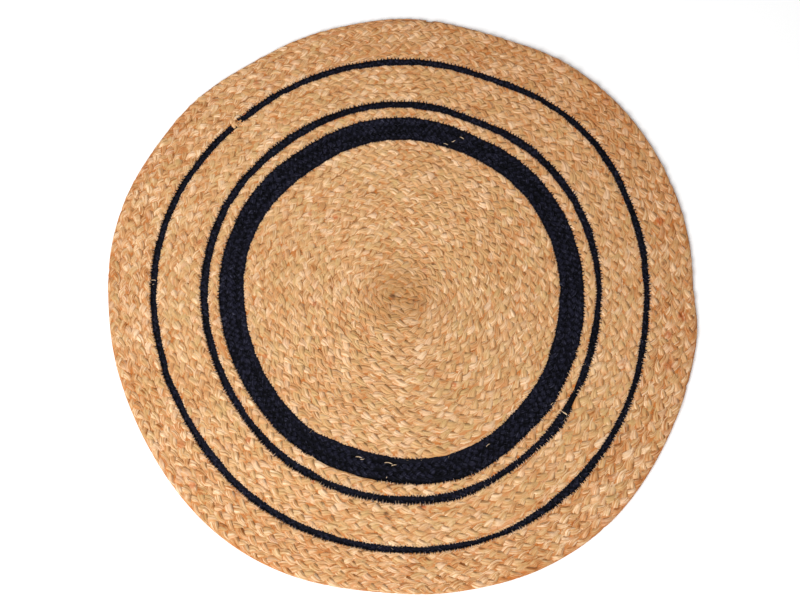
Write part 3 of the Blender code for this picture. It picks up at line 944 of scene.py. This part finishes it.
# Loose ends and odd strands: their middle's x and y from the middle of the winding, their heading
# in degrees, length, bend to the left and width, all in millimetres, by their colour
Wisp = namedtuple("Wisp", "x y heading length bend width")
WISPS = {
    "pale": (
        # on the wide band
        (-65, -247, -12, 10, 1.0, 1.2), (-60, -249, 5, 6, -1.0, 0.9), (-21, -256, -10, 12, 1.5, 1.2),
        (-13, -259, 15, 8, 1.0, 1.1), (-24, -277, 60, 4, 0.0, 1.1), (-241, 150, 60, 9, 1.0, 1.6),
        (68, 241, -20, 7, 0.5, 1.1), (80, 246, 20, 6, -0.5, 1.1), (93, 251, -30, 7, 1.0, 1.1),
        (128, -229, 40, 7, 1.0, 0.9), (242, -142, 15, 5, 0.5, 1.1), (237, -149, 30, 4, 0.5, 1.1),
        (251, -120, 10, 4, 0.5, 1.0), (275, -107, 20, 4, 0.0, 1.0), (225, -167, 45, 5, 0.5, 1.0),
        # at the outer ring's opening
        (-260, 285.5, 30, 9, 0.5, 4.6),
        # where the inner ring's ends meet
        (244, -182, -35, 8, 1.0, 2.2), (262, -147, 8, 9, 0.5, 1.2), (239, -180, 30, 6, 1.0, 1.4),
        # on the outer ring
        (-382, 21, 5, 12, 2.5, 1.1), (-385, 18, 175, 9, 2.0, 0.9), (360, -74, 60, 9, 2.0, 1.6),
    ),
    "dark": (
        # at the inner ring's step, and on the outer ring
        (-116, -290, -55, 10, 1.0, 0.9), (-112, -287, -48, 9, -1.0, 0.8), (357, -78, 10, 7, -1.5, 1.0),
    ),
    "rust": (
        # at the outer ring's opening, and at the inner ring's step
        (-249, 290, 30, 6, 0.0, 2.2), (-265, 271, 60, 6, 0.0, 2.6), (-119, -292, -70, 7, 0.5, 1.4),
    ),
}
WISP_POINTS = 7
# The strands that cross the outer ring where it stops short of closing: their middles, along the ring and
# outwards from its middle, headings in degrees from the ring, lengths, widths and heights
BridgeStrand = namedtuple("BridgeStrand", "along outwards heading length width height")
BRIDGE = (
    (-6.5, 0, 62, 20, 8, 4.9), (-4, 1, 50, 14, 5, 6.4), (-3, -2, 75, 13, 4, 6.0), (-5, 6, 30, 12, 6, 6.8),
    (6, 7, 12, 13, 5, 6.8), (12, 6, 8, 12, 4, 6.4),
)
BRIDGE_POINTS, BRIDGE_AROUND = 9, 8
FIBRES, FIBRE_POINTS, FIBRE_RADIUS = 900, 5, 0.13 * MM


def bent_line(middle, heading, length, bend, count):
    """Points, shaped (count, 2), of a shallow parabola of this length with its middle bend to the left."""
    share = np.linspace(-1, 1, count)[:, None]
    ahead = np.array([math.cos(heading), math.sin(heading)])
    left = np.array([-ahead[1], ahead[0]])
    return np.array(middle) + share * length / 2 * ahead + (1 - share ** 2) * bend * left


def swollen_ends(count, start, power):
    """sin(pi * share) ** power along a strand, from the share start to as far from its other end: its
    width."""
    return np.sin(np.pi * np.linspace(start, 1 - start, count)) ** power


def wisps(relief, threads):
    """The loose ends of each colour as one piece: flat tubes along bent lines, narrow at both ends, lying
    on the braids."""
    pieces = []
    for tone, rows in WISPS.items():
        lines, widths = [], []
        for wisp in map(Wisp._make, rows):
            middle = (wisp.x * MM + WINDING_X, wisp.y * MM + WINDING_Y)
            heading = math.radians(wisp.heading)
            lines.append(bent_line(middle, heading, wisp.length * MM, wisp.bend * MM, WISP_POINTS))
            widths.append(wisp.width * MM * swollen_ends(WISP_POINTS, 0.08, 0.5))
        lines = relief.laid(np.array(lines), -0.1 * MM)
        points = tube_points(lines, np.array(widths) / 2, 5, 0.4)
        pieces.append(add_piece(tube_mesh(f"{tone}_wisps", threads[tone], points), "natural_jute"))
    return pieces


def bridge(material, rng):
    """The natural strands in the opening of the outer ring: flat tubes along bent lines that arch over it
    by a parabola."""
    radius = BANDS[-2].outer - 5 * MM
    lines, widths = [], []
    for strand in map(BridgeStrand._make, BRIDGE):
        bearing = OPENING_BEARING - math.degrees(strand.along * MM / radius)
        x, y = on_winding(radius + strand.outwards * MM, bearing)
        heading = math.radians(bearing - 90 + strand.heading)
        middle = (x + WINDING_X, y + WINDING_Y)
        line = bent_line(middle, heading, strand.length * MM, 1.0 * MM, BRIDGE_POINTS)
        heights = strand.height - 1.2 * np.linspace(-1, 1, BRIDGE_POINTS)[:, None] ** 2
        lines.append(np.concatenate([line, heights * MM], axis=1))
        widths.append(strand.width * MM * swollen_ends(BRIDGE_POINTS, 0.1, 0.6))
    points = tube_points(np.array(lines), np.array(widths) / 2, BRIDGE_AROUND, 0.4)
    mesh = tube_mesh("opening_strands", material, points)
    add_strand_maps(mesh, np.linspace(0, 20 * MM, BRIDGE_POINTS), points.shape[:3])
    tones = rng.uniform(0.2, 0.8, (len(lines), 3))
    add_tones(mesh, np.repeat(tones, BRIDGE_POINTS * BRIDGE_AROUND, axis=0))
    return add_piece(mesh, "natural_jute")


def fibres(courses, relief, material, rng):
    """Stray fibres that lie on the natural rows, most of them nearly along the braid."""
    natural = [course for course, band in zip(courses, BANDS) if band.dye == "natural_jute"]
    lengths = np.array([course.along[-1] for course in natural])
    lines = []
    for number in rng.choice(len(natural), FIBRES, p=lengths / lengths.sum()):
        course = natural[number]
        along = rng.uniform(0, course.along[-1])
        across = rng.uniform(-0.8, 0.8) * np.interp(along, course.along, course.half)
        start, end = on_floor(course, along + np.array([-1, 1]) * MM, across, 0.0)[:, :2]
        heading = math.atan2(end[1] - start[1], end[0] - start[0]) + rng.normal(0, 0.6)
        length, bend = rng.uniform(6, 18) * MM, rng.normal(0, 1.2) * MM
        lines.append(bent_line(start, heading, length, bend, FIBRE_POINTS))
    lines = relief.laid(np.array(lines), rng.uniform(-0.3, 0.3, (FIBRES, FIBRE_POINTS)) * MM)
    points = tube_points(lines, np.full((FIBRES, FIBRE_POINTS), FIBRE_RADIUS), 3)
    return add_piece(tube_mesh("stray_fibres", material, points), "natural_jute")


def make_rug():
    """All the rug's pieces, all riding on the rug's one body. The heart is a thin sheet among the braids,
    and what is braided, sewn or loose lies on it."""
    strands = {"natural_jute": natural_jute(), "black_jute": black_jute()}
    pieces, courses, tops = [], [], []
    for number, band in enumerate(BANDS):
        rng = np.random.default_rng(100 + number)
        courses.append(course_of(band))
        braids, points = braid_pieces(band, courses[-1], strands[band.dye], rng)
        pieces += braids
        tops.append(points)
    relief = Relief(tops)
    pieces += sewing(courses, relief, strands["black_jute"])
    threads = {
        "pale": thread_finish("pale_fibre", srgb(190, 158, 122), srgb(234, 208, 176)),
        "dark": thread_finish("dark_fibre", srgb(16, 14, 22), srgb(44, 38, 50)),
        "rust": thread_finish("rust_fibre", srgb(138, 76, 48), srgb(190, 116, 76)),
    }
    rng = np.random.default_rng(300)
    pieces += wisps(relief, threads)
    pieces.append(bridge(strands["natural_jute"], rng))
    pieces.append(fibres(courses, relief, threads["pale"], rng))
    sheet = add_piece(heart(strands, rng), "natural_jute")
    x, y = OUTLINE
    area = 0.5 * abs(np.sum(x * np.roll(y, -1) - y * np.roll(x, -1)))
    size = (float(x.max() - x.min()), float(y.max() - y.min()))


# ---- The floor, the lights and the camera ----

CAMERA_ELEVATION = 79.0
CAMERA_DISTANCE = 1.875
CAMERA_LENS = 55.2
AIM = (WINDING_X - 0.0038, WINDING_Y - 0.0078, 0.006)
FLOOR_REACH, FLOOR_DROP = 6.0, 0.2 * MM
SKY_STRENGTH = 0.53
KEY_PLACE = (-1.42, -1.76, 2.30)
KEY_SIZE = 2.4
KEY_POWER = 126.0


def make_floor():
    """A plain pale square, a hair under the rug."""
    finish = Finish("pale_floor", Roughness=0.9, Base_Color=(0.98, 0.98, 0.98, 1.0))
    corners = FLOOR_REACH * np.array([(-1, -1, 0), (1, -1, 0), (1, 1, 0), (-1, 1, 0)]) - (0, 0, FLOOR_DROP)
    mesh = new_mesh("floor", corners, [np.array([[0, 1, 2, 3]])], [finish.material])
    floor = bpy.data.objects.new("floor", mesh)
    bpy.context.scene.collection.objects.link(floor)


def make_sky():
    """Even white light from all around."""
    world = bpy.data.worlds.new("studio")
    bpy.context.scene.world = world
    world.use_nodes = True
    background = world.node_tree.nodes["Background"]
    background.inputs["Color"].default_value = (1.0, 1.0, 1.0, 1.0)
    background.inputs["Strength"].default_value = SKY_STRENGTH


def look_along(direction):
    """The XYZ turn that points an object's -Z along direction, with its Y as far up as may be."""
    return Vector(direction).to_track_quat("-Z", "Y").to_euler()


def make_key_light():
    """A broad square lamp that points at the rug's middle."""
    data = bpy.data.lights.new("key", "AREA")
    data.shape = "SQUARE"
    data.size = KEY_SIZE
    data.energy = KEY_POWER
    lamp = bpy.data.objects.new("key", data)
    lamp.location = KEY_PLACE
    lamp.rotation_euler = look_along(-np.array(KEY_PLACE))
    bpy.context.scene.collection.objects.link(lamp)


def make_camera():
    """The photograph's view: from the front, high above the rug."""
    data = bpy.data.cameras.new("camera")
    data.lens = CAMERA_LENS
    data.sensor_width = 36.0
    camera = bpy.data.objects.new("camera", data)
    tilt = math.radians(90.0 - CAMERA_ELEVATION)
    away = np.array((0.0, -math.sin(tilt), math.cos(tilt)))
    camera.location = np.array(AIM) + CAMERA_DISTANCE * away
    camera.rotation_euler = look_along(-away)
    bpy.context.scene.collection.objects.link(camera)
    bpy.context.scene.camera = camera


make_camera()
make_floor()
make_sky()
make_key_light()
make_rug()
bpy.context.scene.view_settings.view_transform = "Standard"
